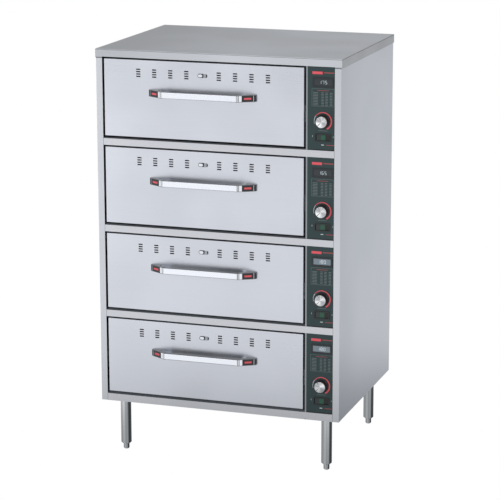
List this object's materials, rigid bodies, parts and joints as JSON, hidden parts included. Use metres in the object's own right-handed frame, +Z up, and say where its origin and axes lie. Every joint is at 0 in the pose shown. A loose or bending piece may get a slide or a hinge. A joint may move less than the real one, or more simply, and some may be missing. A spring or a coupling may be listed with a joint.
{
  "type": "drawer warmer",
  "caption": "Free-standing stainless food warmer with stacked heated pull-out drawers, vent sliders, temperature dials and displays at the right, on tube legs.",
  "frame": {"origin": "on the floor, under the middle of the whole outline, from the faces of the pull handles to the back of the top cover", "axes": "+X to the right seen from the front, +Y to the back, +Z up"},
  "size_m": [0.7494, 0.6102, 1.2348],
  "materials": {
    "cover_steel": "brushed stainless sheet, grain front to back",
    "side_steel": "brushed stainless sheet, upright grain",
    "face_steel": "brushed stainless face frame, fine level grain",
    "front_steel": "brushed stainless drawer front, fine level grain",
    "liner_steel": "plain mill-finish steel",
    "pan_steel": "drawn stainless, satin",
    "handle_metal": "polished cast handle",
    "slide_steel": "zinc-plated slide steel",
    "insulation_wool": "pressed mineral wool",
    "element_sheath": "heat-darkened steel sheath",
    "control_sheet": "dark printed control sheet, satin",
    "display_plastic": "dark glossy display case",
    "switch_plastic": "black moulded switch case",
    "rocker_plastic": "rocker with a green lens",
    "thermostat_case": "dark moulded case",
    "knob_plastic": "black moulded knob with a turned metal cap",
    "leg_steel": "satin stainless tube",
    "foot_steel": "turned stainless foot"
  },
  "bodies": {
    "cabinet": {"top_cover": "cover_steel", "side_panel_left": "side_steel", "side_panel_right": "side_steel", "back_panel": "side_steel", "base_pan": "side_steel", "front_frame": "face_steel", "cell_liners": "liner_steel", "insulation": "insulation_wool", "heating_elements": "element_sheath", "slide_outers": "slide_steel", "control_panels": "control_sheet", "display_windows": "display_plastic", "switch_housings": "switch_plastic", "thermostats": "thermostat_case", "legs": "leg_steel"},
    "levelling_foot_front_left": {"foot_front_left": "foot_steel"},
    "levelling_foot_front_right": {"foot_front_right": "foot_steel"},
    "levelling_foot_back_left": {"foot_back_left": "foot_steel"},
    "levelling_foot_back_right": {"foot_back_right": "foot_steel"},
    "drawer_1": {"drawer_front_1": "front_steel", "drawer_box_1": "liner_steel", "drawer_pan_1": "pan_steel", "handle_grip_1": "handle_metal", "handle_ends_1": "handle_metal", "slide_inner_1": "slide_steel"},
    "runner_1": {"slide_middle_1": "slide_steel"},
    "shutter_1": {"vent_shutter_1": "front_steel"},
    "dial_1": {"knob_1": "knob_plastic"},
    "switch_1": {"rocker_1": "rocker_plastic"},
    "drawer_2": {"drawer_front_2": "front_steel", "drawer_box_2": "liner_steel", "drawer_pan_2": "pan_steel", "handle_grip_2": "handle_metal", "handle_ends_2": "handle_metal", "slide_inner_2": "slide_steel"},
    "runner_2": {"slide_middle_2": "slide_steel"},
    "shutter_2": {"vent_shutter_2": "front_steel"},
    "dial_2": {"knob_2": "knob_plastic"},
    "switch_2": {"rocker_2": "rocker_plastic"},
    "drawer_3": {"drawer_front_3": "front_steel", "drawer_box_3": "liner_steel", "drawer_pan_3": "pan_steel", "handle_grip_3": "handle_metal", "handle_ends_3": "handle_metal", "slide_inner_3": "slide_steel"},
    "runner_3": {"slide_middle_3": "slide_steel"},
    "shutter_3": {"vent_shutter_3": "front_steel"},
    "dial_3": {"knob_3": "knob_plastic"},
    "switch_3": {"rocker_3": "rocker_plastic"},
    "drawer_4": {"drawer_front_4": "front_steel", "drawer_box_4": "liner_steel", "drawer_pan_4": "pan_steel", "handle_grip_4": "handle_metal", "handle_ends_4": "handle_metal", "slide_inner_4": "slide_steel"},
    "runner_4": {"slide_middle_4": "slide_steel"},
    "shutter_4": {"vent_shutter_4": "front_steel"},
    "dial_4": {"knob_4": "knob_plastic"},
    "switch_4": {"rocker_4": "rocker_plastic"}
  },
  "joints": [
    {"name": "turn_foot_front_left", "type": "hinge", "parent": "cabinet", "child": "levelling_foot_front_left", "pos_m": [-0.31865, -0.2096, 0], "axis": [0, 0, 1], "continuous": true},
    {"name": "turn_foot_front_right", "type": "hinge", "parent": "cabinet", "child": "levelling_foot_front_right", "pos_m": [0.31865, -0.2096, 0], "axis": [0, 0, 1], "continuous": true},
    {"name": "turn_foot_back_left", "type": "hinge", "parent": "cabinet", "child": "levelling_foot_back_left", "pos_m": [-0.31865, 0.2601, 0], "axis": [0, 0, 1], "continuous": true},
    {"name": "turn_foot_back_right", "type": "hinge", "parent": "cabinet", "child": "levelling_foot_back_right", "pos_m": [0.31865, 0.2601, 0], "axis": [0, 0, 1], "continuous": true},
    {"name": "open_drawer_1", "type": "slide", "parent": "cabinet", "child": "drawer_1", "axis": [0, -1, 0], "range_m": [0, 0.44]},
    {"name": "run_slide_1", "type": "slide", "parent": "cabinet", "child": "runner_1", "axis": [0, -1, 0], "range_m": [0, 0.22]},
    {"name": "close_vents_1", "type": "slide", "parent": "drawer_1", "child": "shutter_1", "axis": [1, 0, 0], "range_m": [0, 0.0134]},
    {"name": "turn_knob_1", "type": "hinge", "parent": "cabinet", "child": "dial_1", "pos_m": [0.318, -0.2666, 1.0556], "axis": [0, 1, 0], "range_deg": [0, 270]},
    {"name": "tip_rocker_1", "type": "hinge", "parent": "cabinet", "child": "switch_1", "pos_m": [0.318, -0.2636, 1.0085], "axis": [0, 0, -1], "range_deg": [0, 12]},
    {"name": "open_drawer_2", "type": "slide", "parent": "cabinet", "child": "drawer_2", "axis": [0, -1, 0], "range_m": [0, 0.44]},
    {"name": "run_slide_2", "type": "slide", "parent": "cabinet", "child": "runner_2", "axis": [0, -1, 0], "range_m": [0, 0.22]},
    {"name": "close_vents_2", "type": "slide", "parent": "drawer_2", "child": "shutter_2", "axis": [1, 0, 0], "range_m": [0, 0.0134]},
    {"name": "turn_knob_2", "type": "hinge", "parent": "cabinet", "child": "dial_2", "pos_m": [0.318, -0.2666, 0.7951], "axis": [0, 1, 0], "range_deg": [0, 270]},
    {"name": "tip_rocker_2", "type": "hinge", "parent": "cabinet", "child": "switch_2", "pos_m": [0.318, -0.2636, 0.748], "axis": [0, 0, -1], "range_deg": [0, 12]},
    {"name": "open_drawer_3", "type": "slide", "parent": "cabinet", "child": "drawer_3", "axis": [0, -1, 0], "range_m": [0, 0.44]},
    {"name": "run_slide_3", "type": "slide", "parent": "cabinet", "child": "runner_3", "axis": [0, -1, 0], "range_m": [0, 0.22]},
    {"name": "close_vents_3", "type": "slide", "parent": "drawer_3", "child": "shutter_3", "axis": [1, 0, 0], "range_m": [0, 0.0134]},
    {"name": "turn_knob_3", "type": "hinge", "parent": "cabinet", "child": "dial_3", "pos_m": [0.318, -0.2666, 0.5346], "axis": [0, 1, 0], "range_deg": [0, 270]},
    {"name": "tip_rocker_3", "type": "hinge", "parent": "cabinet", "child": "switch_3", "pos_m": [0.318, -0.2636, 0.4875], "axis": [0, 0, -1], "range_deg": [0, 12]},
    {"name": "open_drawer_4", "type": "slide", "parent": "cabinet", "child": "drawer_4", "axis": [0, -1, 0], "range_m": [0, 0.44]},
    {"name": "run_slide_4", "type": "slide", "parent": "cabinet", "child": "runner_4", "axis": [0, -1, 0], "range_m": [0, 0.22]},
    {"name": "close_vents_4", "type": "slide", "parent": "drawer_4", "child": "shutter_4", "axis": [1, 0, 0], "range_m": [0, 0.0134]},
    {"name": "turn_knob_4", "type": "hinge", "parent": "cabinet", "child": "dial_4", "pos_m": [0.318, -0.2666, 0.2741], "axis": [0, 1, 0], "range_deg": [0, 270]},
    {"name": "tip_rocker_4", "type": "hinge", "parent": "cabinet", "child": "switch_4", "pos_m": [0.318, -0.2636, 0.227], "axis": [0, 0, -1], "range_deg": [0, 12]}
  ],
  "couplings": [
    {"joint": "run_slide_1", "follows": "open_drawer_1", "ratio": 0.5},
    {"joint": "run_slide_2", "follows": "open_drawer_2", "ratio": 0.5},
    {"joint": "run_slide_3", "follows": "open_drawer_3", "ratio": 0.5},
    {"joint": "run_slide_4", "follows": "open_drawer_4", "ratio": 0.5}
  ]
}
